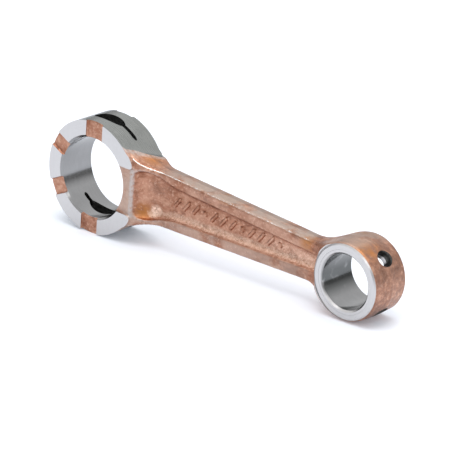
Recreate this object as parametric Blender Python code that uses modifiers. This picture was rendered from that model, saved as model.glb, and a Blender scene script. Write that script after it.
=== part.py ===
"""Connecting rod of a small two-stroke engine, standing on its edge on a flat surface.

The rod is one copper-plated steel forging with a hardened steel bush pressed into its small end.
Both are modelled in the rod's own frame, which a tilted empty carries: +X runs from the big end
to the small end, +Y along the bores and +Z up. Both eyes touch the surface at Z = 0.
Lengths are in metres.
"""

import math

import bmesh
import bpy

MM = 0.001

# Driving dimensions
CENTRES = 119.5 * MM
BIG_BORE_R = 15.0 * MM
BIG_RIM_R = 21.4 * MM
BIG_WIDTH = 16.1 * MM
SMALL_BORE_R = 10.0 * MM
SMALL_FACE_R = 13.05 * MM
SMALL_WIDTH = 16.3 * MM
FLANGE_WIDTH = 7.2 * MM
WEB_THICKNESS = 2.6 * MM
SHANK_HEIGHT_BIG = 20.6 * MM
SHANK_HEIGHT_SMALL = 15.0 * MM

# Big end: forged drum, ground pads with oil grooves between them, two oil slots
DRUM_R = 22.2 * MM
DRUM_DRAFT = 0.3 * MM
GROOVE_DEPTH = 0.7 * MM
PAD_STEP = 0.1 * MM
BIG_CHAMFER = 0.8 * MM
GROOVES = ((90, 8.0 * MM), (153, 6.3 * MM), (207, 6.3 * MM), (270, 8.0 * MM))
RECESS_HALF = 8.9 * MM
RECESS_START = 9.0 * MM
RECESS_LENGTH = 20.0 * MM
GROOVE_START = 11.0 * MM
GROOVE_LENGTH = 14.0 * MM
RIM_END_ANGLE = math.radians(35)
RIM_END_STEP = 1.2 * MM
RIM_END_RISE = 1.6 * MM
SLOT_HALF_LENGTH = 7.2 * MM
SLOT_HALF_WIDTH = 2.8 * MM
SLOT_REACH = 16.0 * MM
KERF_R = 12.3 * MM
KERF_OFFSET = 12.3 * MM
KERF_ANGLE = math.radians(80.5)
KERF_HALF = 0.8 * MM
KERF_EDGE = 0.8 * MM
KERF_EDGE_HALF = 0.2 * MM

# Shank: flanges with forging draft round a sunk web
FLARE_START = 18.5 * MM
FLARE_END = 30.0 * MM
CROWN = 0.35 * MM
EDGE_ROUND = 0.6 * MM
BIG_FILLET_R = 30.0 * MM
SMALL_FILLET_R = 24.0 * MM
POCKET_START = 19.0 * MM
POCKET_END = 112.0 * MM
POCKET_TAPER = ((38.0 * MM, 6.5 * MM), (101.0 * MM, 3.4 * MM))  # (place, half height)
POCKET_FLARE = 2.3 * MM
POCKET_FLARE_LENGTH = 16.0 * MM
POCKET_FLOOR_ROUND = 1.6 * MM
POCKET_CORNER_R = 4.0 * MM
POCKET_DRAFT = 0.5 * MM
POCKET_END_SLOPE = 3.0  # how far the big-end wall leans for each step of the side walls

# Small end: drafted barrel, oil holes, bush
BARREL_R = 14.5 * MM
BARREL_EDGE_R = 14.0 * MM
BARREL_BEVEL = 0.7 * MM
OIL_HOLE_R = 2.7 * MM
OIL_HOLE_ANGLE = math.radians(45)
OIL_HOLE_REACH = 10.0 * MM
BUSH_WALL = 1.5 * MM
BUSH_GAP = 0.02 * MM
SMALL_CHAMFER = 0.6 * MM

ROUND_STEPS = 96
SINK = 0.6 * MM  # how far a joined shape runs into its neighbour
PAST = 1.0 * MM  # how far a cutter runs past the metal
# Metal left inside each ring for the bore to take away; unlike values keep their walls apart.
DRUM_SPARE = 2.5 * MM
PAD_SPARE = 1.5 * MM
BARREL_SPARE = 2.0 * MM

# The rod leans until both eyes touch the surface.
TILT = math.asin((BIG_RIM_R - BARREL_R) / CENTRES)
HALF_SPAN = (CENTRES * math.cos(TILT) + BARREL_R - BIG_RIM_R) / 2


def clear_scene():
    for obj in list(bpy.data.objects):
        bpy.data.objects.remove(obj, do_unlink=True)


def collection(name, hidden=False):
    made = bpy.data.collections.new(name)
    bpy.context.scene.collection.children.link(made)
    made.hide_render = hidden
    return made


def material(name, colour, roughness, metallic):
    made = bpy.data.materials.new(name)
    made.use_nodes = True
    shader = made.node_tree.nodes["Principled BSDF"]
    shader.inputs["Base Color"].default_value = (*colour, 1)
    shader.inputs["Roughness"].default_value = roughness
    shader.inputs["Metallic"].default_value = metallic
    return made


def add_object(name, mesh, group, frame, at=(0, 0, 0), turn=(0, 0, 0)):
    """An object placed in the rod's frame."""
    obj = bpy.data.objects.new(name, mesh)
    obj.location = at
    obj.rotation_euler = turn
    obj.parent = frame
    group.objects.link(obj)
    if group.hide_render:
        obj.hide_render = True
        obj.display_type = "WIRE"
    return obj


def smooth(obj):
    obj.data.shade_smooth()
    obj.data.set_sharp_from_angle(angle=math.radians(30))


def turned(name, profile, group, frame, x=0.0):
    """A ring or disc about a bore axis, from its (radius, height) outline, top to bottom outside."""
    mesh = bpy.data.meshes.new(name)
    count = len(profile)
    closed = profile[-1][0] > 0
    edges = [(i, i + 1) for i in range(count - 1)]
    if closed:
        edges.append((count - 1, 0))
    mesh.from_pydata([(radius, 0, height) for radius, height in profile], edges, [])
    obj = add_object(name, mesh, group, frame, (x, 0, 0), (-math.pi / 2, 0, 0))
    screw = obj.modifiers.new("turn", "SCREW")
    screw.steps = ROUND_STEPS
    screw.render_steps = ROUND_STEPS
    screw.use_merge_vertices = True
    screw.merge_threshold = 0.00001
    return obj


def loft(name, sections, group, frame):
    """A closed solid through sections of the same number of points, with a cap at each end."""
    mesh = bpy.data.meshes.new(name)
    shape = bmesh.new()
    rings = [[shape.verts.new(point) for point in section] for section in sections]
    for first, second in zip(rings, rings[1:]):
        for i in range(len(first)):
            j = (i + 1) % len(first)
            shape.faces.new((first[i], first[j], second[j], second[i]))
    shape.faces.new(rings[0][::-1])
    shape.faces.new(rings[-1])
    bmesh.ops.recalc_face_normals(shape, faces=shape.faces)
    shape.to_mesh(mesh)
    shape.free()
    return add_object(name, mesh, group, frame)


def box(name, size, group, frame, at, turn=(0, 0, 0)):
    mesh = bpy.data.meshes.new(name)
    shape = bmesh.new()
    bmesh.ops.create_cube(shape, size=1)
    bmesh.ops.scale(shape, vec=size, verts=shape.verts)
    shape.to_mesh(mesh)
    shape.free()
    return add_object(name, mesh, group, frame, at, turn)


def boolean(obj, operation, other):
    """MANIFOLD keeps this stack of coaxial cuts closed, where EXACT leaves open edges."""
    step = obj.modifiers.new(f"{operation.lower()} {other.name}", "BOOLEAN")
    step.operation = operation
    step.object = other
    step.solver = "MANIFOLD"


def ease(value):
    """0 to 1 with a level start and end."""
    value = min(max(value, 0), 1)
    return value * value * (3 - 2 * value)


def fillet_centre(eye_x, eye_r, fillet_r, line_height, towards):
    """Centre of the arc that touches an eye of radius eye_r and a line at line_height."""
    height = line_height + fillet_r
    along = math.sqrt((eye_r + fillet_r) ** 2 - height**2)
    return eye_x + towards * along, height


BIG_ARC = fillet_centre(0, DRUM_R - SINK, BIG_FILLET_R, SHANK_HEIGHT_BIG / 2, 1)
SMALL_ARC = fillet_centre(CENTRES, BARREL_R - SINK, SMALL_FILLET_R, SHANK_HEIGHT_SMALL / 2, -1)


def shank_half_height(x):
    """Half height of the shank at its flange edges."""
    if x < BIG_ARC[0]:
        return BIG_ARC[1] - math.sqrt(BIG_FILLET_R**2 - (BIG_ARC[0] - x) ** 2)
    if x > SMALL_ARC[0]:
        return SMALL_ARC[1] - math.sqrt(SMALL_FILLET_R**2 - (x - SMALL_ARC[0]) ** 2)
    share = (x - BIG_ARC[0]) / (SMALL_ARC[0] - BIG_ARC[0])
    return (SHANK_HEIGHT_BIG + (SHANK_HEIGHT_SMALL - SHANK_HEIGHT_BIG) * share) / 2


def shank_half_width(x):
    """Half width of the shank along the bores: as wide as the drum at the big end."""
    wide = BIG_WIDTH / 2 - GROOVE_DEPTH - SINK / 2
    narrow = FLANGE_WIDTH / 2
    return wide + (narrow - wide) * ease((x - FLARE_START) / (FLARE_END - FLARE_START))


def shank_section(x):
    """The shank's outline across the rod, with forging draft and worn corners."""
    width = shank_half_width(x)
    height = shank_half_height(x)
    corner = EDGE_ROUND
    quarter = ((width, height - corner), (width - corner, height), (0, height + CROWN))
    ring = list(quarter)
    ring += [(-y, z) for y, z in quarter[-2::-1]]
    ring += [(-y, -z) for y, z in quarter]
    ring += [(y, -z) for y, z in quarter[-2::-1]]
    return [(x, y, z) for y, z in ring]


def make_shank(group, frame):
    start = BIG_ARC[0] * (DRUM_R - SINK) / (DRUM_R - SINK + BIG_FILLET_R)
    end = CENTRES - (CENTRES - SMALL_ARC[0]) * (BARREL_R - SINK) / (BARREL_R - SINK + SMALL_FILLET_R)
    stretches = ((start, BIG_ARC[0], 14), (BIG_ARC[0], SMALL_ARC[0], 8), (SMALL_ARC[0], end, 6))
    places = [a + (b - a) * i / count for a, b, count in stretches for i in range(count)]
    places.append(end)
    return loft("shank", [shank_section(x) for x in places], group, frame)


def pocket_half_height(x):
    """Half height of the pocket at its edge: a straight taper that flares at the big end."""
    (near, near_half), (far, far_half) = POCKET_TAPER
    straight = near_half + (far_half - near_half) * (x - near) / (far - near)
    return straight + POCKET_FLARE * ease((near - x) / POCKET_FLARE_LENGTH)


def pocket_outline(inset):
    """The pocket's outline, drawn in by inset, with its big-end corners rounded."""
    left = POCKET_START + inset * POCKET_END_SLOPE
    radius = POCKET_CORNER_R
    top = []
    corner_steps = 5
    for i in range(corner_steps + 1):
        angle = math.pi / 2 * i / corner_steps
        x = left + radius * (1 - math.cos(angle))
        top.append((x, pocket_half_height(left + radius) - inset - radius * (1 - math.sin(angle))))
    steps = 12
    for i in range(1, steps + 1):
        x = left + radius + (POCKET_END - left - radius) * i / steps
        top.append((x, pocket_half_height(x) - inset))
    return top + [(x, -z) for x, z in top[::-1]]


def make_pocket(name, side, group, frame):
    """The cutter that sinks one pocket, with drafted walls and a rounded floor."""
    floor = WEB_THICKNESS / 2
    rounding = [(floor + POCKET_FLOOR_ROUND * (1 - math.cos(a)), POCKET_FLOOR_ROUND * (1 - math.sin(a)))
                for a in map(math.radians, (0, 20, 45, 70))]
    wall_top = (BIG_WIDTH / 2 + PAST, -POCKET_DRAFT)
    depths = [*rounding, (floor + POCKET_FLOOR_ROUND, 0), wall_top]
    sections = [[(x, side * depth, z) for x, z in pocket_outline(inset)] for depth, inset in depths]
    return loft(name, sections, group, frame)


def make_drum(group, frame):
    """The forged drum at the level of the oil grooves, before its bore is cut."""
    half = BIG_WIDTH / 2 - GROOVE_DEPTH
    inner = BIG_BORE_R - DRUM_SPARE
    corner = EDGE_ROUND
    edge = DRUM_R - DRUM_DRAFT
    profile = ((inner, half), (edge - corner, half), (edge, half - corner), (DRUM_R, 0),
               (edge, corner - half), (edge - corner, -half), (inner, -half))
    return turned("drum", profile, group, frame)


def make_pads(name, side, group, frame):
    """One face's ground pads: a raised ring, parted by the grooves and by the recess at the shank."""
    top = side * BIG_WIDTH / 2
    root = side * (BIG_WIDTH / 2 - GROOVE_DEPTH - SINK)
    high, low = max(top, root), min(top, root)
    inner = BIG_BORE_R - PAD_SPARE
    outer = DRUM_R - DRUM_DRAFT - PAD_STEP
    ring = turned(name, ((inner, high), (outer, high), (outer, low), (inner, low)), group, frame)
    middle = side * (BIG_WIDTH / 2 - (GROOVE_DEPTH + SINK) / 2)
    depth = GROOVE_DEPTH + 3 * SINK
    for angle, width in GROOVES:
        turn = math.radians(angle)
        out = GROOVE_START + GROOVE_LENGTH / 2
        spot = (out * math.cos(turn), middle, out * math.sin(turn))
        size = (GROOVE_LENGTH, depth, width)
        groove = box(f"{name}_groove_{angle}", size, group, frame, spot, (0, -turn, 0))
        boolean(ring, "DIFFERENCE", groove)
    spot = (RECESS_START + RECESS_LENGTH / 2, middle, 0)
    recess = box(f"{name}_recess", (RECESS_LENGTH, depth, 2 * RECESS_HALF), group, frame, spot)
    boolean(ring, "DIFFERENCE", recess)
    return ring


def make_barrel(group, frame):
    half = SMALL_WIDTH / 2
    inner = SMALL_BORE_R - BARREL_SPARE
    edge = half - BARREL_BEVEL
    profile = ((inner, half), (SMALL_FACE_R, half), (BARREL_EDGE_R, edge), (BARREL_R, 0),
               (BARREL_EDGE_R, -edge), (SMALL_FACE_R, -half), (inner, -half))
    return turned("barrel", profile, group, frame, CENTRES)


def bore_cutter(name, radius, half, chamfer, group, frame, x):
    """A through bore with a chamfer at each mouth."""
    past = half + PAST
    wide = radius + chamfer + PAST
    profile = ((0, past), (wide, past), (radius, half - chamfer), (radius, chamfer - half),
               (wide, -past), (0, -past))
    return turned(name, profile, group, frame, x)


def make_rim_cutter(group, frame):
    """Brings the drum's rim down to its ground radius, all round but for the shank's root."""
    outline = []
    steps = ROUND_STEPS
    sweep = 2 * (math.pi - RIM_END_ANGLE)
    for i in range(steps + 1):
        angle = RIM_END_ANGLE + sweep * i / steps
        outline.append((BIG_RIM_R * math.cos(angle), BIG_RIM_R * math.sin(angle)))
    far = 2 * DRUM_R
    end_x = outline[0][0] + RIM_END_STEP
    end_z = outline[0][1] + RIM_END_RISE
    outline += [(end_x, -end_z), (end_x, -far), (-far, -far), (-far, far), (end_x, far), (end_x, end_z)]
    sections = [[(x, y, z) for x, z in outline] for y in (-BIG_WIDTH, BIG_WIDTH)]
    return loft("rim_cutter", sections, group, frame)


def make_slot(name, side, group, frame):
    """The lens-shaped opening of one oil slot: an elliptical plug straight through the wall."""
    mesh = bpy.data.meshes.new(name)
    shape = bmesh.new()
    bmesh.ops.create_cone(shape, segments=40, radius1=1, radius2=1, depth=1, cap_ends=True)
    bmesh.ops.scale(shape, vec=(SLOT_HALF_LENGTH, SLOT_HALF_WIDTH, SLOT_REACH), verts=shape.verts)
    shape.to_mesh(mesh)
    shape.free()
    return add_object(name, mesh, group, frame, (0, 0, side * (BIG_BORE_R + BIG_RIM_R) / 2))


def make_kerf(name, side, group, frame):
    """The thin arc that a small disc cutter leaves at both ends of a slot."""
    x = KERF_OFFSET * math.cos(KERF_ANGLE)
    z = side * KERF_OFFSET * math.sin(KERF_ANGLE)
    full = KERF_R - KERF_EDGE
    profile = ((0, KERF_HALF), (full, KERF_HALF), (KERF_R, KERF_EDGE_HALF),
               (KERF_R, -KERF_EDGE_HALF), (full, -KERF_HALF), (0, -KERF_HALF))
    disc = turned(name, profile, group, frame, x)
    disc.location.z = z
    return disc


def make_oil_hole(name, side, group, frame):
    """A radial hole through the small-end wall, on the far side from the shank."""
    mesh = bpy.data.meshes.new(name)
    shape = bmesh.new()
    bmesh.ops.create_cone(shape, segments=32, radius1=OIL_HOLE_R, radius2=OIL_HOLE_R,
                          depth=OIL_HOLE_REACH, cap_ends=True)
    shape.to_mesh(mesh)
    shape.free()
    angle = side * OIL_HOLE_ANGLE
    out = (SMALL_BORE_R + BARREL_R) / 2
    spot = (CENTRES + out * math.cos(angle), 0, out * math.sin(angle))
    return add_object(name, mesh, group, frame, spot, (0, math.pi / 2 - angle, 0))


def make_forging(parts, cutters, frame):
    forging = make_drum(parts, frame)
    forging.name = "rod_forging"
    boolean(forging, "UNION", make_pads("front_pads", -1, cutters, frame))
    boolean(forging, "UNION", make_pads("rear_pads", 1, cutters, frame))
    boolean(forging, "UNION", make_shank(cutters, frame))
    boolean(forging, "DIFFERENCE", make_pocket("front_pocket", -1, cutters, frame))
    boolean(forging, "DIFFERENCE", make_pocket("rear_pocket", 1, cutters, frame))
    boolean(forging, "UNION", make_barrel(cutters, frame))
    big_half = BIG_WIDTH / 2
    boolean(forging, "DIFFERENCE",
            bore_cutter("big_bore", BIG_BORE_R, big_half, BIG_CHAMFER, cutters, frame, 0))
    seat_r = SMALL_BORE_R + BUSH_WALL + BUSH_GAP
    past = SMALL_WIDTH
    seat = turned("bush_seat", ((0, past), (seat_r, past), (seat_r, -past), (0, -past)),
                  cutters, frame, CENTRES)
    boolean(forging, "DIFFERENCE", seat)
    boolean(forging, "DIFFERENCE", make_rim_cutter(cutters, frame))
    for side, word in ((1, "upper"), (-1, "lower")):
        boolean(forging, "DIFFERENCE", make_slot(f"{word}_slot", side, cutters, frame))
        boolean(forging, "DIFFERENCE", make_kerf(f"{word}_kerf", side, cutters, frame))
    forging.data.materials.append(material("copper_plate", (0.52, 0.27, 0.18), 0.38, 1))
    smooth(forging)
    return forging


def make_bush(parts, frame):
    half = SMALL_WIDTH / 2
    outer = SMALL_BORE_R + BUSH_WALL
    profile = ((SMALL_BORE_R + SMALL_CHAMFER, half), (outer, half), (outer, -half),
               (SMALL_BORE_R + SMALL_CHAMFER, -half), (SMALL_BORE_R, SMALL_CHAMFER - half),
               (SMALL_BORE_R, half - SMALL_CHAMFER))
    bush = turned("small_end_bush", profile, parts, frame, CENTRES)
    bush.data.materials.append(material("ground_steel", (0.62, 0.63, 0.65), 0.28, 1))
    smooth(bush)
    return bush


def main():
    clear_scene()
    parts = collection("connecting_rod")
    cutters = collection("cutters", hidden=True)
    frame = bpy.data.objects.new("rod_frame", None)
    frame.location = (-HALF_SPAN, 0, BIG_RIM_R)
    frame.rotation_euler = (0, TILT, 0)
    parts.objects.link(frame)
    forging = make_forging(parts, cutters, frame)
    bush = make_bush(parts, frame)
    for side, word in ((1, "upper"), (-1, "lower")):
        hole = make_oil_hole(f"{word}_oil_hole", side, cutters, frame)
        boolean(forging, "DIFFERENCE", hole)
        boolean(bush, "DIFFERENCE", hole)


main()
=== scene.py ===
"""Looks of the connecting rod: a copper-plated forging with ground steel faces, and its small-end bush.

The forging is worked as the real one is. A field in the rod's own millimetres gives the forged blank,
a mesh is drawn on its zero surface, and turned and ground cuts then lay the bare steel faces open.
"""

import math

import bmesh
import bpy
import numpy as np
from mathutils import Euler, Matrix, Vector


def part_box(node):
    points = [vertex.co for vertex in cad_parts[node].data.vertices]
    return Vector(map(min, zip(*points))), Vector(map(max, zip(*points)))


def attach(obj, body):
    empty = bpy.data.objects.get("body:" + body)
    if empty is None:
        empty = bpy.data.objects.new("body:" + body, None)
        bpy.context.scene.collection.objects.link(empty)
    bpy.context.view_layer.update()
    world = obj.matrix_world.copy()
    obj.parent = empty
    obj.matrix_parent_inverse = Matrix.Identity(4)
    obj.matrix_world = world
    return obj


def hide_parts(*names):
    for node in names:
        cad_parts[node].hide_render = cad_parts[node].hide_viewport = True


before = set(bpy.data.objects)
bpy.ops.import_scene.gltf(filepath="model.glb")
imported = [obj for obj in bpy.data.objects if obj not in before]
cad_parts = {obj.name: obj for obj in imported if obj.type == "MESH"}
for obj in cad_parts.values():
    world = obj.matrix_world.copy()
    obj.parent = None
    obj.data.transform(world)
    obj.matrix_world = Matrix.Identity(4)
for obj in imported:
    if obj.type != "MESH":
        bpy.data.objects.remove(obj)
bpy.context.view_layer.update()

MM = 0.001

# Rod's own frame, in millimetres: +X from the big end to the small end, +Y along the bores, +Z up.
BIG_BORE_R = 15.0
BIG_FACE = 8.05
BIG_CHAMFER = 0.8
SMALL_FACE = 8.15
RECESS_FACE = 7.35
BLANK_SPARE = 0.3

# Planform of the blank
DRUM_R = 22.1
TANGENT_R = 21.6
FILLET_R = 30.0
SHANK_BIG = 10.3
SHANK_SMALL = 7.5
SHANK_SMALL_X = 101.0
SHANK_END_X = 112.0
FLANGE_HALF = 3.6
FLARE = (18.5, 31.0)
OUTLINE_BLEND = 0.4

# Forging draft: the slope of the drum's wall, the slope that the shank adds, and its swell at mid-depth
DRUM_DRAFT = 0.037
SHANK_DRAFT = 0.06
SHANK_SWELL = 0.35

# Soft edges of the forging: flanges, pocket lips, and the parting line's bead with its half width
FLANGE_ROUND = 1.2
LIP_ROUND = 0.45
BEAD = 0.06
BEAD_HALF = 0.45

# Pads, recess, and the grooves as (direction in degrees, width)
GROOVES = ((90, 8.0), (153, 6.3), (207, 6.3), (270, 8.0))
RECESS_HALF = 8.9
PAD_OUTER_R = 22.0
PAD_CORNER = 2.6
PAD_WALL = 0.55
PAD_LEVEL = 0.68

# Pockets
WEB_HALF = 1.3
POCKET_START = 19.0
POCKET_FOOT = 23.5
POCKET_TAPER = ((38.0, 6.5), (101.0, 3.4))
POCKET_FLARE = 2.3
POCKET_FLARE_LENGTH = 16.0
POCKET_SIDE_BLEND = 3.6
POCKET_FOOT_BLEND = 4.5

# Raised marks on the web: every fourth one is a dot, and the others are leaning bars
MARK_COUNT = 12
MARK_GROUP = 4
MARK_START = 36.5
MARK_STEP = 4.4
MARK_Z = 0.4
MARK_HALF = 1.9
MARK_LEAN = math.radians(38)
MARK_WIDTH = 1.15
MARK_DOT = 1.9
MARK_SOFT = 0.45
MARK_HEIGHT = 0.75

# Small end and bush; each point of the turned bevel is (radius past RING_R, height past the face)
BARREL_MID_R = 14.39
BARREL_SIDE_R = 14.0
BARREL_SIDE = 7.4
RING_R = 13.05
FORGED_BEVEL_INSET = 0.1
FORGED_BEVEL_SPARE = 0.12
FORGED_BEVEL_ROUND = 0.35
TURNED_BEVEL = ((-0.2, 0.16), (0.55, -0.44), (1.15, 1.2), (-0.2, 1.2))
BUSH_BORE_R = 10.0
BUSH_OUTER_R = 11.5
BUSH_GAP = 0.02
BUSH_CHAMFER = 0.6
BUSH_SOFT = 0.04

# Oil holes; each point of the countersink is (how much wider than the hole, height past the barrel)
OIL_HOLE_R = 2.75
OIL_HOLE_ANGLE = 45
OIL_HOLE_REACH = (7.0, 17.0)
COUNTERSINK = ((0.62, 0.07), (0.25, -0.55), (0.0, -1.0))
COUNTERSINK_SPREAD = 1.6

# The blend of barrel and shank: its reach at mid-height, and what is added by NECK_Z
NECK_BLEND = 2.5
NECK_BLEND_MORE = 6.0
NECK_Z = 8.0

# Ground rim: its angle at the shank and how that changes along Y, in degrees, and the run-out's arc
RIM_R = 21.4
RIM_END = 45.0
RIM_SLANT = -0.85
RUNOUT_R = 5.0
RUNOUT_SWEEP = math.radians(75)
RUNOUT_STEPS = 10
RIM_CUT_R = DRUM_R + 6
RIM_CUT_HALF = 9.5
RIM_CUT_SECTIONS = 20
RIM_CUT_BACK_STEPS = 40

# Oil slots: the lens, and a disc's kerf. KERF_AT is its centre as (distance, degrees), and each point
# of its tip is (distance in from its radius, half width).
SLOT_HALF = (7.2, 2.8)
SLOT_STEPS = 96
SLOT_REACH = (BIG_BORE_R - 5, DRUM_R + 3)
KERF_R = 12.3
KERF_AT = (12.3, 80.5)
KERF_TIP = ((0.7, 0.8), (0.2, 0.55), (0.0, 0.15))

# Grinding blocks: (face, start, end along X), and their half height and depth
EYE_BLOCKS = ((BIG_FACE, -30, 60), (SMALL_FACE, 90, 150))
BLOCK_HALF = 30
BLOCK_DEPTH = 4

# Mesh: cell size, sampled margin, and the hammered skin as (height, wavelengths, waves, seed)
VOXEL = 0.36
MARGIN = 1.5
SETTLE_PASSES = 3
LEAST_SLOPE = 0.1
LEAST_SLOPE_SQUARED = 0.2
SKIN = ((0.022, (5, 11), 24, 5), (0.012, (1.6, 3.2), 40, 6))
TURN_STEPS = 256
KERF_STEPS = 128
HOLE_STEPS = 96
SHARP_ANGLE = math.radians(32)

COPPER, FACES, RIM, BORE, HIDDEN = FINISHES = range(5)

# Where the copper's tones lie: the shank's two ends, its slender part, the pocket's corner where a
# highlight is painted, and the place in the pocket where shade is painted
SHANK_BEGINS = (17.5, 19.0)
SHANK_ENDS = (101, 98)
SLENDER_PART = 62
HIGHLIGHT_CORNER = (27.0, -6.2)
PAINTED_SHADE_SPOT = (27, 2)
STAIN_FADE = 1.2

# Linear colours of the copper, from the plate up to the bare steel that shows through it
PLATE_DARK = (0.360, 0.163, 0.100)
PLATE_LIGHT = (0.462, 0.232, 0.153)
PLATE_PALE = (0.530, 0.300, 0.208)
PLATE_BROWN = (0.240, 0.104, 0.064)
GRAIN_TIPS = (0.68, 0.42, 0.31)
WARM_STAIN = (0.43, 0.175, 0.058)
GREY_FILM = (0.455, 0.365, 0.310)
# The next two are a painted highlight and painted glints on the copper
PAINTED_HIGHLIGHT_COLOUR = (0.90, 0.63, 0.49)
PAINTED_GLINT_COLOUR = (1.0, 0.84, 0.68)
# A painted shade, darker brown on the copper
PAINTED_SHADE_BROWN = (0.260, 0.155, 0.115)
RUBBED_STEEL = (0.50, 0.47, 0.45)
WORN_STEEL = (0.74, 0.72, 0.70)
# A painted dark reflection band for the small bore
PAINTED_BORE_DARK = (0.125, 0.128, 0.126)

# Sockets of a Mix node that carry colour
MIX_FIRST, MIX_SECOND, MIX_RESULT = 6, 7, 2

# Studio, in metres and watts; ROOM is the world's brightness at each height of the line of sight
FLOOR_SIZE = 6
FLOOR_COLOUR = (0.84, 0.87, 0.92, 1)
FLOOR_GLOW_COLOUR = (0.92, 0.96, 1.08, 1)
FLOOR_GLOW = 0.13
LIGHTS = (
    ("overhead", (0.08, -0.26, 1.0), (0.75, 0.5), 3.9),
    ("back", (0.08, 0.26, 0.95), (0.75, 0.5), 2.3),
    ("front", (0.35, -1.2, 0.7), (0.6, 0.4), 1.2),
)
LIT_POINT = Vector((0, 0, 0.02))
ROOM = ((0.0, 0.34), (0.05, 0.33), (0.15, 0.33), (0.30, 0.82), (0.46, 1.12), (0.72, 1.05), (1.0, 0.55))
ROOM_TINT = (1, 1.01, 1.03)
CAMERA_AT = (0.71025, -0.80468, 0.41467)
CAMERA_TURN = (69.5415, -1.5829, 41.8681)
CAMERA_LENS = 254.72
CAMERA_SENSOR = 36
CAMERA_CLIP = 50


def rod_frame():
    """The matrix from the rod's own millimetres to the row frame, and the distance of the centres."""
    low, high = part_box("rod_forging")
    bush_low, bush_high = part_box("small_end_bush")
    rim = (high.z - low.z) / 2
    big = Vector((low.x + rim, (low.y + high.y) / 2, low.z + rim))
    small = (bush_low + bush_high) / 2
    along = (small - big).normalized()
    across = Vector((0, 1, 0))
    turn = Matrix((along, across, along.cross(across))).transposed().to_4x4()
    return Matrix.Translation(big) @ turn @ Matrix.Scale(MM, 4), (small - big).length / MM


ROD, CENTRES = rod_frame()


# The forged blank --------------------------------------------------------------------------------

def soft_min(a, b, reach):
    """The lesser of two distances, blended where they differ by less than reach."""
    near = np.maximum(reach - np.abs(a - b), 0)
    return np.minimum(a, b) - near * near / (4 * reach)


def soft_max(a, b, reach):
    """The greater of two distances, blended where they differ by less than reach."""
    return -soft_min(-a, -b, reach)


def ease(value):
    """0 up to 0, 1 from 1, and a smooth step between them."""
    value = np.clip(value, 0, 1)
    return value * value * (3 - 2 * value)


def band(value, zero, one):
    """A smooth step that is 0 where value is zero and 1 where it is one, in either direction."""
    return ease((value - zero) / (one - zero))


FILLET_Z = SHANK_BIG + FILLET_R
FILLET_X = math.sqrt((TANGENT_R + FILLET_R) ** 2 - FILLET_Z**2)


def outline(x, z):
    """Distance from the planform of the drum and shank."""
    drum = np.hypot(x, z) - DRUM_R
    straight = SHANK_BIG + (SHANK_SMALL - SHANK_BIG) * (x - FILLET_X) / (SHANK_SMALL_X - FILLET_X)
    away = np.clip(FILLET_X - x, 0, FILLET_R - 1)
    curved = FILLET_Z - np.sqrt(FILLET_R**2 - away * away)
    half = np.where(x < FILLET_X, curved, straight)
    slope = away / np.sqrt(FILLET_R**2 - away * away)
    side = (np.abs(z) - half) / np.sqrt(1 + slope * slope)
    start = FILLET_X * TANGENT_R / (TANGENT_R + FILLET_R)
    shank = np.maximum(side, np.maximum(start - x, x - SHANK_END_X))
    return soft_min(drum, shank, OUTLINE_BLEND)


def pads(x, z):
    """1 on the raised pads of the big end, 0 in the grooves and the recess."""
    edge = np.hypot(x, z) - PAD_OUTER_R
    recess = np.where(x > 0, RECESS_HALF - np.abs(z), -PAD_OUTER_R)
    edge = soft_max(edge, recess, PAD_CORNER)
    for angle, width in GROOVES:
        turn = math.radians(angle)
        along = x * math.cos(turn) + z * math.sin(turn)
        across = np.abs(z * math.cos(turn) - x * math.sin(turn))
        edge = np.maximum(edge, np.where(along > 0, width / 2 - across, -PAD_OUTER_R))
    return ease(PAD_LEVEL - edge / PAD_WALL)


def marks(x, z):
    """Raised forging marks on the web: plain bars and dots in a row."""
    height = np.zeros_like(x)
    for i in range(MARK_COUNT):
        dot = i % MARK_GROUP == MARK_GROUP - 1
        half, width = (0.0, MARK_DOT) if dot else (MARK_HALF, MARK_WIDTH)
        centre = MARK_START + i * MARK_STEP
        along = (z - MARK_Z) * math.cos(MARK_LEAN) + (x - centre) * math.sin(MARK_LEAN)
        across = (x - centre) * math.cos(MARK_LEAN) - (z - MARK_Z) * math.sin(MARK_LEAN)
        away = np.hypot(across, np.maximum(np.abs(along) - half, 0))
        height = np.maximum(height, ease(0.5 + (width / 2 - away) / MARK_SOFT))
    return height


def half_pocket(x):
    """Half the pocket's width at each station along the shank."""
    (near, near_half), (far, far_half) = POCKET_TAPER
    half = near_half + (far_half - near_half) * (x - near) / (far - near)
    return half + POCKET_FLARE * band(x, near, near - POCKET_FLARE_LENGTH)


def pocket(x, y, z):
    """Distance from the pocket in each side of the shank, negative in its hollow."""
    deep = np.abs(y)
    floor = WEB_HALF + np.where(y < 0, MARK_HEIGHT * marks(x, z), 0)
    sides = soft_max(np.abs(z) - half_pocket(x), floor - deep, POCKET_SIDE_BLEND)
    run, drop = POCKET_FOOT - POCKET_START, RECESS_FACE - WEB_HALF
    lean = -(drop * (x - POCKET_START) + run * (deep - RECESS_FACE)) / math.hypot(run, drop)
    return soft_max(sides, lean, POCKET_FOOT_BLEND)


def side_and_face(x, y, z):
    """Distances from the drum's and shank's drafted outline, and from their face."""
    deep = np.abs(y)
    to_shank = band(x, *FLARE)
    draft = deep * (DRUM_DRAFT + SHANK_DRAFT * to_shank) - SHANK_SWELL * to_shank
    face = RECESS_FACE + (FLANGE_HALF - RECESS_FACE) * to_shank
    face = face + (BIG_FACE + BLANK_SPARE - RECESS_FACE) * pads(x, z) * (x < PAD_OUTER_R)
    return outline(x, z) + draft, deep - face


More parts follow.
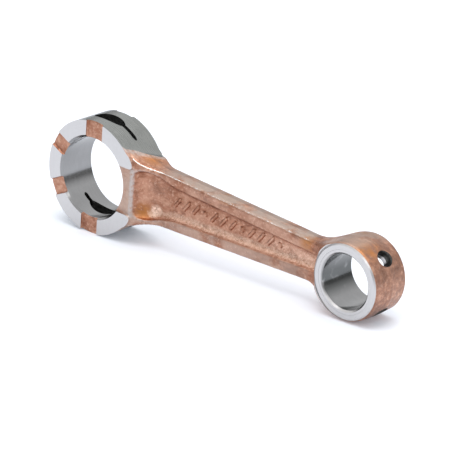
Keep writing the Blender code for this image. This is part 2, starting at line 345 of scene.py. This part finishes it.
def barrel(x, y, z):
    """Distance from the small end: a drafted barrel with bevelled faces."""
    deep = np.abs(y)
    radius = np.hypot(x - CENTRES, z)
    wall = radius - BARREL_MID_R + (BARREL_MID_R - BARREL_SIDE_R) * deep / BARREL_SIDE
    rise, run = SMALL_FACE - BARREL_SIDE, BARREL_SIDE_R - FORGED_BEVEL_INSET - RING_R
    bevel = (rise * (radius - RING_R) + run * (deep - SMALL_FACE)) / math.hypot(rise, run)
    wall = soft_max(wall, bevel - FORGED_BEVEL_SPARE, FORGED_BEVEL_ROUND)
    return np.maximum(wall, deep - SMALL_FACE - BLANK_SPARE)


def blank(x, y, z):
    """Distance from the forged blank: negative inside the metal."""
    body = soft_max(*side_and_face(x, y, z), FLANGE_ROUND)
    body = soft_max(body, -pocket(x, y, z), LIP_ROUND)
    reach = NECK_BLEND + NECK_BLEND_MORE * band(np.abs(z), 0, NECK_Z)
    bead = BEAD * np.exp(-((y / BEAD_HALF) ** 2))
    return soft_min(body, barrel(x, y, z), reach) - bead


# Its mesh ----------------------------------------------------------------------------------------

def net_points(field, where):
    """One point in each crossed cell: the mean of the places where its edges cross the surface."""
    total = np.zeros((len(where), 3))
    number = np.zeros(len(where))
    for axis in range(3):
        others = [i for i in range(3) if i != axis]
        for u in (0, 1):
            for v in (0, 1):
                low = np.zeros(3, int)
                low[others[0]], low[others[1]] = u, v
                high = low.copy()
                high[axis] = 1
                a = field[tuple((where + low).T)]
                b = field[tuple((where + high).T)]
                crossing = (a < 0) != (b < 0)
                point = np.tile(low.astype(float), (crossing.sum(), 1))
                point[:, axis] = a[crossing] / (a[crossing] - b[crossing])
                total[crossing] += point
                number[crossing] += 1
    return where + total / number[:, None]


def net_quads(inside, index):
    """One quad round each crossed edge of the grid, from the points of the four cells that share it."""
    quads = []
    for axis in range(3):
        order = (axis, (axis + 1) % 3, (axis + 2) % 3)
        cells = np.moveaxis(inside, order, (0, 1, 2))
        ids = np.moveaxis(index, order, (0, 1, 2))
        low, high = cells[:-1, 1:-1, 1:-1], cells[1:, 1:-1, 1:-1]
        for leaves, flip in ((low & ~high, False), (~low & high, True)):
            i, j, k = np.nonzero(leaves)
            corners = (ids[i, j, k], ids[i, j + 1, k], ids[i, j + 1, k + 1], ids[i, j, k + 1])
            quad = np.stack(corners, 1)
            quads.append(quad[:, ::-1] if flip else quad)
    return np.concatenate(quads)


def surface_nets(field, origin, step):
    """Points and quads on the zero surface of a sampled field."""
    inside = field < 0
    cells = np.zeros([n - 1 for n in field.shape], np.int8)
    ends = (slice(None, -1), slice(1, None))
    for a in ends:
        for b in ends:
            for c in ends:
                cells += inside[a, b, c]
    crossed = (cells > 0) & (cells < 8)
    where = np.argwhere(crossed)
    index = np.full(crossed.shape, -1, np.int32)
    index[crossed] = np.arange(len(where))
    return net_points(field, where) * step + origin, net_quads(inside, index)


def slope_of(points):
    """The blank's distance and its gradient at each point."""
    step = 0.02
    value = blank(*points.T)
    gradient = np.empty_like(points)
    for axis in range(3):
        shift = np.zeros(3)
        shift[axis] = step
        gradient[:, axis] = (blank(*(points + shift).T) - blank(*(points - shift).T)) / (2 * step)
    return value, gradient


def waves(points, lengths, count, seed):
    """Smooth noise about 1 high: plane waves of random direction and length."""
    rng = np.random.default_rng(seed)
    total = np.zeros(len(points))
    for _ in range(count):
        way = rng.normal(size=3)
        way *= 2 * math.pi / (np.linalg.norm(way) * rng.uniform(*lengths))
        total += np.sin(points @ way + rng.uniform(0, 2 * math.pi))
    return total / math.sqrt(count)


def mesh_object(name, points, faces):
    mesh = bpy.data.meshes.new(name)
    mesh.from_pydata(points, [], faces)
    made = bpy.data.objects.new(name, mesh)
    bpy.context.scene.collection.objects.link(made)
    return made


def blank_object():
    """The forged blank, settled onto the field's zero surface and given its hammered skin."""
    low = np.array((-DRUM_R, -SMALL_FACE, -DRUM_R)) - MARGIN
    high = np.array((CENTRES + BARREL_MID_R, SMALL_FACE, DRUM_R)) + MARGIN
    axes = [np.arange(a, b, VOXEL) for a, b in zip(low, high)]
    x, y, z = np.meshgrid(*axes, indexing="ij")
    points, quads = surface_nets(blank(x, y, z), low, VOXEL)
    for _ in range(SETTLE_PASSES):
        value, gradient = slope_of(points)
        step = -value / np.maximum((gradient**2).sum(1), LEAST_SLOPE_SQUARED)
        points += np.clip(step, -VOXEL / 3, VOXEL / 3)[:, None] * gradient
    gradient = slope_of(points)[1]
    normal = gradient / np.maximum(np.linalg.norm(gradient, axis=1), LEAST_SLOPE)[:, None]
    rough = sum(height * waves(points, lengths, count, seed) for height, lengths, count, seed in SKIN)
    return mesh_object("rod_forged", points + normal * rough[:, None], quads)


# Solids to cut with ------------------------------------------------------------------------------

def finish_slots(obj, number):
    """Empty material slots for the five finishes, with every face in the given one."""
    for _ in FINISHES:
        obj.data.materials.append(None)
    obj.data.polygons.foreach_set("material_index", [number] * len(obj.data.polygons))
    return obj


def outward(obj):
    """Turns every face's normal to the outside."""
    shape = bmesh.new()
    shape.from_mesh(obj.data)
    bmesh.ops.recalc_face_normals(shape, faces=shape.faces)
    shape.to_mesh(obj.data)
    shape.free()


def turned(name, profile, x=0.0, z=0.0, steps=TURN_STEPS):
    """A solid about a bore axis, from its (radius, height) outline; a profile may start on the axis."""
    points = []
    faces = []
    rings = []
    for radius, height in profile:
        if radius == 0:
            rings.append([len(points)] * steps)
            points.append((x, height, z))
            continue
        rings.append(list(range(len(points), len(points) + steps)))
        for i in range(steps):
            turn = 2 * math.pi * i / steps
            points.append((x + radius * math.cos(turn), height, z + radius * math.sin(turn)))
    for first, second in zip(rings, rings[1:] + rings[:1]):
        if first[0] == first[1] and second[0] == second[1]:
            continue
        for i in range(steps):
            j = (i + 1) % steps
            ring = (first[i], first[j], second[j], second[i])
            faces.append([p for n, p in enumerate(ring) if p not in ring[:n]])
    made = mesh_object(name, points, faces)
    outward(made)
    return made


def block(name, low, high):
    """A box between two corners."""
    shape = bmesh.new()
    bmesh.ops.create_cube(shape, size=1)
    size = [b - a for a, b in zip(low, high)]
    bmesh.ops.scale(shape, vec=size, verts=shape.verts)
    bmesh.ops.translate(shape, vec=[(a + b) / 2 for a, b in zip(low, high)], verts=shape.verts)
    made = mesh_object(name, [], [])
    shape.to_mesh(made.data)
    shape.free()
    return made


def lofted(name, sections):
    """A solid through outlines of the same number of points, closed at both ends."""
    points = [point for section in sections for point in section]
    count = len(sections[0])
    faces = [list(range(count)), list(range(len(points) - count, len(points)))]
    for s in range(len(sections) - 1):
        for i in range(count):
            j = (i + 1) % count
            faces.append((s * count + i, s * count + j, (s + 1) * count + j, (s + 1) * count + i))
    made = mesh_object(name, points, faces)
    outward(made)
    return made


def runout_foot(y):
    """The angle about the big bore where the ground rim meets its run-out."""
    return np.radians(RIM_END + RIM_SLANT * y)


def rim_cutter():
    """Takes the drum down to its ground radius, with a slanted concave run-out at the shank."""
    rise = np.linspace(RUNOUT_SWEEP, 0, RUNOUT_STEPS)
    height = RIM_R + RUNOUT_R * (1 - np.cos(rise))
    sections = []
    for y in np.linspace(-RIM_CUT_HALF, RIM_CUT_HALF, RIM_CUT_SECTIONS):
        foot = runout_foot(y)
        along = foot * RIM_R - RUNOUT_R * np.sin(rise)
        upper = [(s / RIM_R, r) for s, r in zip(along, height)]
        lower = [(2 * math.pi - turn, r) for turn, r in reversed(upper)]
        ground = [(turn, RIM_R) for turn in np.linspace(foot, 2 * math.pi - foot, TURN_STEPS)[1:-1]]
        first = upper[0][0]
        back = [(turn, RIM_CUT_R) for turn in np.linspace(2 * math.pi - first, first, RIM_CUT_BACK_STEPS)]
        ring = upper + ground + lower + back
        sections.append([(r * math.cos(turn), y, r * math.sin(turn)) for turn, r in ring])
    return lofted("rim_cutter", sections)


def slot_cutter(side):
    """The lens-shaped opening of an oil slot."""
    turns = np.linspace(0, 2 * math.pi, SLOT_STEPS + 1)[:-1]
    shape = [(SLOT_HALF[0] * math.cos(t), SLOT_HALF[1] * math.sin(t)) for t in turns]
    return lofted("slot_cutter", [[(x, y, side * z) for x, y in shape] for z in SLOT_REACH])


def kerf_cutter(side):
    """The thin arc that a disc cutter leaves at both ends of an oil slot."""
    out, turn = KERF_AT[0], math.radians(KERF_AT[1])
    upper = [(0, KERF_TIP[0][1])] + [(KERF_R - inset, half) for inset, half in KERF_TIP]
    profile = upper + [(radius, -half) for radius, half in reversed(upper)]
    return turned("kerf_cutter", profile, out * math.cos(turn), side * out * math.sin(turn), KERF_STEPS)


def oil_hole_cutter(side):
    """A radial hole with a light countersink at its outer mouth."""
    near, far = OIL_HOLE_REACH
    sink = [(OIL_HOLE_R + wider, BARREL_MID_R + rise) for wider, rise in COUNTERSINK]
    profile = [(0, far), (OIL_HOLE_R + COUNTERSINK_SPREAD, far), *sink, (OIL_HOLE_R, near), (0, near)]
    made = turned("oil_hole_cutter", profile, steps=HOLE_STEPS)
    angle = math.radians(side * OIL_HOLE_ANGLE)
    way = Vector((math.cos(angle), 0, math.sin(angle)))
    turn = Vector((0, 1, 0)).rotation_difference(way).to_matrix().to_4x4()
    made.data.transform(Matrix.Translation((CENTRES, 0, 0)) @ turn)
    return made


def face_cutters():
    """Blocks that grind the eyes' faces flat on both sides."""
    made = []
    for side in (-1, 1):
        for face, start, end in EYE_BLOCKS:
            low, high = sorted((side * face, side * (face + BLOCK_DEPTH)))
            corners = (start, low, -BLOCK_HALF), (end, high, BLOCK_HALF)
            made.append((block("face_cutter", *corners), FACES))
    return made


def bore_cutter(radius, half, chamfer, x):
    """Bores an eye from face to face, with a chamfer at each."""
    past = 2.0
    wide = radius + chamfer + past
    upper = [(0, half + past), (wide, half + past), (radius, half - chamfer)]
    return turned("bore_cutter", upper + [(r, -height) for r, height in reversed(upper)], x)


def seat_cutter():
    """Bores the small end for its bush."""
    seat, past = BUSH_OUTER_R + BUSH_GAP, SMALL_FACE + 3
    return turned("seat_cutter", ((0, past), (seat, past), (seat, -past), (0, -past)), CENTRES)


def bevel_cutter(side):
    """Turns the bevel round a small-end face, and runs out where the shank joins."""
    profile = [(RING_R + out, side * (SMALL_FACE + rise)) for out, rise in TURNED_BEVEL]
    return turned("bevel_cutter", profile, CENTRES)


def cut(obj, cutters):
    """Takes each cutter out of obj; a cutter's finish is the one that its faces leave."""
    for cutter, finish in cutters:
        finish_slots(cutter, finish)
        step = obj.modifiers.new(cutter.name, "BOOLEAN")
        step.operation = "DIFFERENCE"
        step.object = cutter
        step.solver = "MANIFOLD"
    bpy.context.view_layer.update()
    done = bpy.data.meshes.new_from_object(obj.evaluated_get(bpy.context.evaluated_depsgraph_get()))
    obj.modifiers.clear()
    obj.data = done
    for cutter, _ in cutters:
        bpy.data.objects.remove(cutter)


# The two pieces ----------------------------------------------------------------------------------

def make_forging():
    forging = finish_slots(blank_object(), COPPER)
    forging.name = "rod_forging_skin"
    cutters = face_cutters()
    cutters.append((rim_cutter(), RIM))
    cutters.append((bore_cutter(BIG_BORE_R, BIG_FACE, BIG_CHAMFER, 0), BORE))
    cutters.append((seat_cutter(), BORE))
    for side in (1, -1):
        cutters.append((bevel_cutter(side), FACES))
        cutters += [(maker(side), HIDDEN) for maker in (slot_cutter, kerf_cutter, oil_hole_cutter)]
    cut(forging, cutters)
    return forging


def make_bush():
    half, soft, chamfer = SMALL_FACE, BUSH_SOFT, BUSH_CHAMFER
    outside = [(BUSH_BORE_R + chamfer, half), (BUSH_OUTER_R - soft, half), (BUSH_OUTER_R, half - soft)]
    inside = [(BUSH_BORE_R + soft, chamfer - half - soft), (BUSH_BORE_R, chamfer - half)]
    profile = outside + [(radius, -height) for radius, height in reversed(outside)]
    profile += inside + [(radius, -height) for radius, height in reversed(inside)]
    bush = finish_slots(turned("bush_ground", profile, CENTRES), BORE)
    cut(bush, [(oil_hole_cutter(side), HIDDEN) for side in (1, -1)])
    for polygon in bush.data.polygons:
        if abs(polygon.normal.y) > 0.5:
            polygon.material_index = FACES
    return bush


def place(obj):
    """Keeps the rod's own millimetres as an attribute, and moves the mesh into the row frame."""
    mesh = obj.data
    points = np.empty(len(mesh.vertices) * 3, np.float32)
    mesh.vertices.foreach_get("co", points)
    mesh.attributes.new("rod", "FLOAT_VECTOR", "POINT").data.foreach_set("vector", points)
    mesh.transform(ROD)
    mesh.shade_smooth()
    mesh.set_sharp_from_angle(angle=SHARP_ANGLE)


forging = make_forging()
bush = make_bush()
for piece in (forging, bush):
    place(piece)


# Tones on the pieces, as vertex attributes -------------------------------------------------------

def rod_points(mesh):
    """Each point of a placed mesh, in the rod's own millimetres."""
    points = np.empty(len(mesh.vertices) * 3, np.float32)
    mesh.attributes["rod"].data.foreach_get("vector", points)
    return points.reshape(-1, 3).astype(float).T


def set_tone(mesh, name, values):
    mesh.attributes.new(name, "FLOAT", "POINT").data.foreach_set("value", values)


def stains(x, y, z):
    """Warm stains in the corners of the big end, round the small end and on the shank."""
    # Each as (x, y, z, size)
    spots = ((23.3, -5.0, -6.8, 4.1), (23, 0, 14.5, 5.5), (CENTRES + 5, -4, 13, 6.5), (98, -2.5, 6.5, 4),
             (23.3, 5.0, -6.8, 4.1), (CENTRES - 6, 5, 13, 6), (60, 0, 10, 5))
    warm = np.zeros(len(x))
    for a, b, c, size in spots:
        away = np.sqrt((x - a) ** 2 + (y - b) ** 2 + (z - c) ** 2)
        warm = np.maximum(warm, ease(STAIN_FADE - away / size))
    return warm


def wear(x, y, z, side, face, on_shank):
    """Edges worn down to the steel beneath, and edges that are only rubbed."""
    flange_edge = band(np.abs(side - face), 0.546, 0.126) * band(side + face, -1.2, -0.8) * on_shank
    flange_edge *= np.where((z > 0) & (y < 0), 1.0, 0.8) * (0.65 + 0.24 * band(x, 44, 32))
    lip = band(np.abs(pocket(x, y, z)) + np.abs(face), 0.77, 0.07) * on_shank
    ridge = band(np.hypot(x - POCKET_START, np.abs(y) - RECESS_FACE), 1.35, 0.45)
    ridge *= band(np.abs(z), 10.5, 8.5)
    turn = np.abs(np.arctan2(z, x))
    foot = runout_foot(y)
    runout = np.hypot((turn - foot) * RIM_R, np.hypot(x, z) - RIM_R - RUNOUT_R) - RUNOUT_R
    brink = band(np.abs(runout), 1.125, 0.225) * (turn < foot) * (x < 26)
    rubbed = np.maximum.reduce((0.75 * ridge, 0.6 * lip * band(x, 34, 26), 0.6 * brink))
    return np.maximum(flange_edge, 0.5 * lip), rubbed


def grey_film(x, z, side, face, on_shank):
    """A grey film on the shank's top and bottom, its flanges, the recess and the barrel's crown."""
    top = (np.abs(side) < 0.5) * band(x, 25, 37) * band(x, *SHANK_ENDS)
    flange_face = band(np.abs(face), 0.4, 0) * on_shank * np.where(z > 0, 0.2, 0.6)
    recess = band(x, 19.5, 18.5) * (x > 5)
    crown = band(z, 9, 13) * band(x, CENTRES + 7, CENTRES + 2) * band(x, 96, 102)
    return np.maximum.reduce((top, flange_face, 0.75 * recess, 0.7 * crown))


def painted_light_and_shade(x, y, z, face, on_shank):
    """Painted highlight on the pocket's lower wall, in its corner and along the far web, and painted shade
    where the copper is made darker.
    """
    hollow = band(pocket(x, y, z), 1, 0) * band(np.abs(y), FLANGE_HALF - 0.3, FLANGE_HALF - 0.8) * (x < 105)
    # Painted highlight where light falls: the pocket's lower wall, its corner and the far part of the web
    lit_low_wall = band(np.abs(z + half_pocket(x) - 1.4), 2.125, 0.425)
    corner_highlight = band(np.hypot(x - HIGHLIGHT_CORNER[0], z - HIGHLIGHT_CORNER[1]), 3.3, 1.1)
    lit_far_web = 0.32 * band(x, SLENDER_PART, 98)
    painted_highlight = hollow * np.maximum.reduce((lit_far_web, 0.42 * lit_low_wall, corner_highlight))
    # Painted shade: darker in the pocket's upper corner, on the barrel's far side and on the lower flange
    # face
    shade = band(np.hypot(x - PAINTED_SHADE_SPOT[0], z - PAINTED_SHADE_SPOT[1]), 9.0, 1.5) * hollow
    shaded_low_flange = band(np.abs(face), 0.4, 0) * on_shank * (z < 0) * band(x, SLENDER_PART, 87)
    shaded_far_side = band(x, CENTRES - 1, CENTRES + 6)
    return painted_highlight, np.maximum.reduce((0.55 * shade, 0.85 * shaded_far_side, 0.7 * shaded_low_flange))


def copper_tones(mesh):
    """Where the copper is worn, rubbed, stained warm or filmed grey, and where highlight and shade are
    painted on it.
    """
    x, y, z = rod_points(mesh)
    side, face = side_and_face(x, y, z)
    on_shank = band(x, *SHANK_BEGINS) * band(x, *SHANK_ENDS)
    worn, rubbed = wear(x, y, z, side, face, on_shank)
    painted_highlight, painted_shade = painted_light_and_shade(x, y, z, face, on_shank)
    set_tone(mesh, "worn", worn)
    set_tone(mesh, "rubbed", rubbed)
    set_tone(mesh, "warm", stains(x, y, z))
    set_tone(mesh, "film", grey_film(x, z, side, face, on_shank))
    set_tone(mesh, "painted_highlight", painted_highlight)
    set_tone(mesh, "painted_shade", painted_shade)


def painted_bore_band(mesh):
    """A painted dark reflection band in the small bore, clear at its lowest part."""
    x, _, z = rod_points(mesh)
    turn = np.degrees(np.arctan2(z, x - CENTRES)) % 360
    clear = band(turn, 212, 242) * band(turn, 330, 300)
    thick = 0.62 + 0.38 * band(turn, 165, 185) * band(turn, 345, 325)
    in_bore = np.hypot(x - CENTRES, z) < BUSH_BORE_R + 0.2
    set_tone(mesh, "painted_band", (1 - clear) * thick * in_bore)


copper_tones(forging.data)
painted_bore_band(bush.data)


# Materials ---------------------------------------------------------------------------------------

def value_node(tree, kind, settings=None, inputs=None):
    """A node with its properties and its inputs, each a number, a colour or another node's output."""
    node = tree.nodes.new(kind)
    for key, value in (settings or {}).items():
        setattr(node, key, value)
    for key, value in (inputs or {}).items():
        if isinstance(value, bpy.types.NodeSocket):
            tree.links.new(value, node.inputs[key])
        else:
            node.inputs[key].default_value = value
    return node


def math_node(tree, operation, *values):
    node = value_node(tree, "ShaderNodeMath", {"operation": operation}, dict(enumerate(values)))
    return node.outputs[0]


def product(tree, first, *others):
    for other in others:
        first = math_node(tree, "MULTIPLY", first, other)
    return first


def noise(tree, vector, scale, detail, rough):
    inputs = {"Vector": vector, "Scale": scale, "Detail": detail, "Roughness": rough}
    return value_node(tree, "ShaderNodeTexNoise", None, inputs).outputs["Fac"]


def stretch(tree, vector, scale):
    node = value_node(tree, "ShaderNodeVectorMath", {"operation": "MULTIPLY"}, {0: vector, 1: scale})
    return node.outputs[0]


def ramp(tree, value, zero, one):
    """0 at zero and 1 at one, with soft ends, in either direction."""
    settings = {"interpolation_type": "SMOOTHSTEP"}
    inputs = {"Value": value, "From Min": zero, "From Max": one}
    return value_node(tree, "ShaderNodeMapRange", settings, inputs).outputs["Result"]


def remap(tree, value, low, high):
    """Spreads a noise, which mostly lies between 0.3 and 0.7, over a range."""
    inputs = {"Value": value, "From Min": 0.3, "From Max": 0.7, "To Min": low, "To Max": high}
    return value_node(tree, "ShaderNodeMapRange", None, inputs).outputs["Result"]


def mix(tree, share, first, second):
    """The second colour over the first, each a tuple or another node's output."""
    node = value_node(tree, "ShaderNodeMix", {"data_type": "RGBA"}, {"Factor": share})
    for key, value in ((MIX_FIRST, first), (MIX_SECOND, second)):
        if isinstance(value, bpy.types.NodeSocket):
            tree.links.new(value, node.inputs[key])
        else:
            node.inputs[key].default_value = (*value, 1)
    return node.outputs[MIX_RESULT]


def attribute(tree, name, output):
    return value_node(tree, "ShaderNodeAttribute", {"attribute_name": name}).outputs[output]


def bump(tree, height, distance, strength, normal=None):
    inputs = {"Height": height, "Distance": distance, "Strength": strength}
    if normal is not None:
        inputs["Normal"] = normal
    return value_node(tree, "ShaderNodeBump", None, inputs).outputs["Normal"]


def new_material(name, metallic=1.0):
    made = bpy.data.materials.new(name)
    made.use_nodes = True
    tree = made.node_tree
    shader = tree.nodes["Principled BSDF"]
    shader.inputs["Metallic"].default_value = metallic
    return made, tree, shader


def copper_material():
    """Dull copper plate over a forged skin, worn to bare steel along its edges, with painted highlight,
    glints and shade.
    """
    made, tree, shader = new_material("copper_plate")
    rod = attribute(tree, "rod", "Vector")
    clouds = noise(tree, rod, 0.14, 5, 0.62)
    patches = noise(tree, stretch(tree, rod, (0.5, 1.0, 1.0)), 0.42, 4, 0.6)
    grain = noise(tree, rod, 1.0, 5, 0.68)
    fine = noise(tree, rod, 3.2, 3, 0.6)

    def tone(name):
        return attribute(tree, name, "Fac")

    # Painted glints, only where the painted highlight lies
    glint_share = math_node(tree, "MINIMUM", tone("painted_highlight"), 0.4)
    worn = ramp(tree, math_node(tree, "ADD", tone("worn"), product(tree, grain, 0.85)), 1.01, 1.13)
    layers = (
        (ramp(tree, clouds, 0.40, 0.62), PLATE_LIGHT),
        (ramp(tree, patches, 0.50, 0.68), PLATE_PALE),
        (product(tree, ramp(tree, patches, 0.48, 0.34), 0.75), PLATE_BROWN),
        (product(tree, ramp(tree, grain, 0.50, 0.72), 0.8), GRAIN_TIPS),
        (product(tree, tone("warm"), ramp(tree, patches, 0.26, 0.48)), WARM_STAIN),
        (product(tree, tone("film"), ramp(tree, clouds, 0.30, 0.56), 0.85), GREY_FILM),
        # Painted highlight, then painted glints
        (product(tree, tone("painted_highlight"), ramp(tree, grain, 0.28, 0.56)), PAINTED_HIGHLIGHT_COLOUR),
        (product(tree, glint_share, ramp(tree, fine, 0.54, 0.62)), PAINTED_GLINT_COLOUR),
        # Painted shade
        (product(tree, tone("painted_shade"), ramp(tree, patches, 0.64, 0.42), 0.6), PAINTED_SHADE_BROWN),
        (product(tree, tone("rubbed"), ramp(tree, grain, 0.30, 0.55)), RUBBED_STEEL),
        (worn, WORN_STEEL),
    )
    colour = PLATE_DARK
    for share, layer in layers:
        colour = mix(tree, share, colour, layer)
    rough = math_node(tree, "SUBTRACT", remap(tree, patches, 0.31, 0.43), product(tree, worn, 0.18))
    normal = bump(tree, grain, 0.24 * MM, 0.9)
    normal = bump(tree, fine, 0.08 * MM, 0.9, normal)
    tree.links.new(colour, shader.inputs["Base Color"])
    tree.links.new(rough, shader.inputs["Roughness"])
    tree.links.new(normal, shader.inputs["Normal"])
    return made


def steel_material(name, colour, darker, rough, line_scale, line_depth):
    """Ground steel: fine lines left by the wheel, a faint uneven tone, and a painted dark reflection band
    where the tone says so.
    """
    made, tree, shader = new_material(name)
    rod = attribute(tree, "rod", "Vector")
    lines = noise(tree, stretch(tree, rod, line_scale), 1.0, 3, 0.6)
    clouds = noise(tree, rod, 0.25, 3, 0.5)
    uneven = math_node(tree, "ADD", product(tree, lines, 0.6), product(tree, clouds, 0.4))
    base = mix(tree, ramp(tree, uneven, 0.36, 0.64), darker, colour)
    # Painted dark reflection band in the small bore
    painted_band = product(tree, attribute(tree, "painted_band", "Fac"), ramp(tree, clouds, 0.20, 0.42))
    base = mix(tree, painted_band, base, PAINTED_BORE_DARK)
    tree.links.new(base, shader.inputs["Base Color"])
    tree.links.new(remap(tree, uneven, rough - 0.04, rough + 0.05), shader.inputs["Roughness"])
    tree.links.new(bump(tree, lines, line_depth * MM, 0.7), shader.inputs["Normal"])
    return made


def ground_faces():
    return steel_material("ground_faces", colour=(0.555, 0.540, 0.535), darker=(0.535, 0.520, 0.515),
                          rough=0.30, line_scale=(1.2, 1.2, 0.15), line_depth=0.003)


def ground_rim():
    return steel_material("ground_rim", colour=(0.275, 0.280, 0.266), darker=(0.247, 0.252, 0.239),
                          rough=0.27, line_scale=(0.12, 2.6, 0.12), line_depth=0.004)


def honed_bore():
    return steel_material("honed_bore", colour=(0.298, 0.295, 0.294), darker=(0.272, 0.270, 0.269),
                          rough=0.15, line_scale=(0.25, 2.6, 0.25), line_depth=0.0025)


# Near-black steel inside the slots, kerfs and oil holes: painted shade in their hollows
def shaded_hollow_steel():
    return steel_material("shaded_hollow_steel", colour=(0.11, 0.108, 0.10), darker=(0.06, 0.06, 0.055),
                          rough=0.42, line_scale=(1.0, 1.0, 1.0), line_depth=0.02)


def floor_material():
    made, _, shader = new_material("studio_floor", 0.0)
    shader.inputs["Base Color"].default_value = FLOOR_COLOUR
    shader.inputs["Roughness"].default_value = 0.7
    shader.inputs["Specular IOR Level"].default_value = 0.2
    shader.inputs["Emission Color"].default_value = FLOOR_GLOW_COLOUR
    shader.inputs["Emission Strength"].default_value = FLOOR_GLOW
    return made


# In the order of COPPER, FACES, RIM, BORE, HIDDEN
finishes = (copper_material(), ground_faces(), ground_rim(), honed_bore(), shaded_hollow_steel())
for piece in (forging, bush):
    for number, finish in enumerate(finishes):
        piece.data.materials[number] = finish

stands_for = (
    (forging, "rod_forging", "copper_plated_steel"),
    (bush, "small_end_bush", "ground_steel"),
)
for piece, node, slot in stands_for:
    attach(piece, "root")
    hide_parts(node)


# Studio ------------------------------------------------------------------------------------------

def make_floor():
    shape = bmesh.new()
    bmesh.ops.create_grid(shape, x_segments=1, y_segments=1, size=FLOOR_SIZE)
    floor = mesh_object("floor", [], [])
    shape.to_mesh(floor.data)
    shape.free()
    floor.data.materials.append(floor_material())


def area_light(name, at, size, power):
    light = bpy.data.lights.new(name, "AREA")
    light.shape = "RECTANGLE"
    light.size, light.size_y = size
    light.energy = power
    obj = bpy.data.objects.new(name, light)
    obj.location = at
    obj.rotation_euler = (Vector(at) - LIT_POINT).to_track_quat("Z", "Y").to_euler()
    bpy.context.scene.collection.objects.link(obj)


def make_world():
    """A pale room with a dark strip where its walls meet the table, dimmer towards its ceiling."""
    world = bpy.data.worlds.new("studio")
    world.use_nodes = True
    tree = world.node_tree
    way = value_node(tree, "ShaderNodeTexCoord").outputs["Generated"]
    up = value_node(tree, "ShaderNodeSeparateXYZ", None, {0: way}).outputs["Z"]
    room = tree.nodes.new("ShaderNodeValToRGB")
    elements = room.color_ramp.elements
    while len(elements) < len(ROOM):
        elements.new(0.5)
    for element, (height, shade) in zip(elements, ROOM):
        element.position = height
        element.color = (*(shade * tint for tint in ROOM_TINT), 1)
    tree.links.new(up, room.inputs["Fac"])
    tree.links.new(room.outputs["Color"], tree.nodes["Background"].inputs["Color"])
    bpy.context.scene.world = world


def make_camera():
    camera = bpy.data.objects.new("camera", bpy.data.cameras.new("camera"))
    camera.data.lens = CAMERA_LENS
    camera.data.sensor_width = CAMERA_SENSOR
    camera.data.clip_end = CAMERA_CLIP
    camera.location = CAMERA_AT
    camera.rotation_euler = Euler([math.radians(a) for a in CAMERA_TURN])
    bpy.context.scene.collection.objects.link(camera)
    bpy.context.scene.camera = camera


make_floor()
make_world()
make_camera()
for light in LIGHTS:
    area_light(*light)
bpy.context.scene.view_settings.view_transform = "Standard"
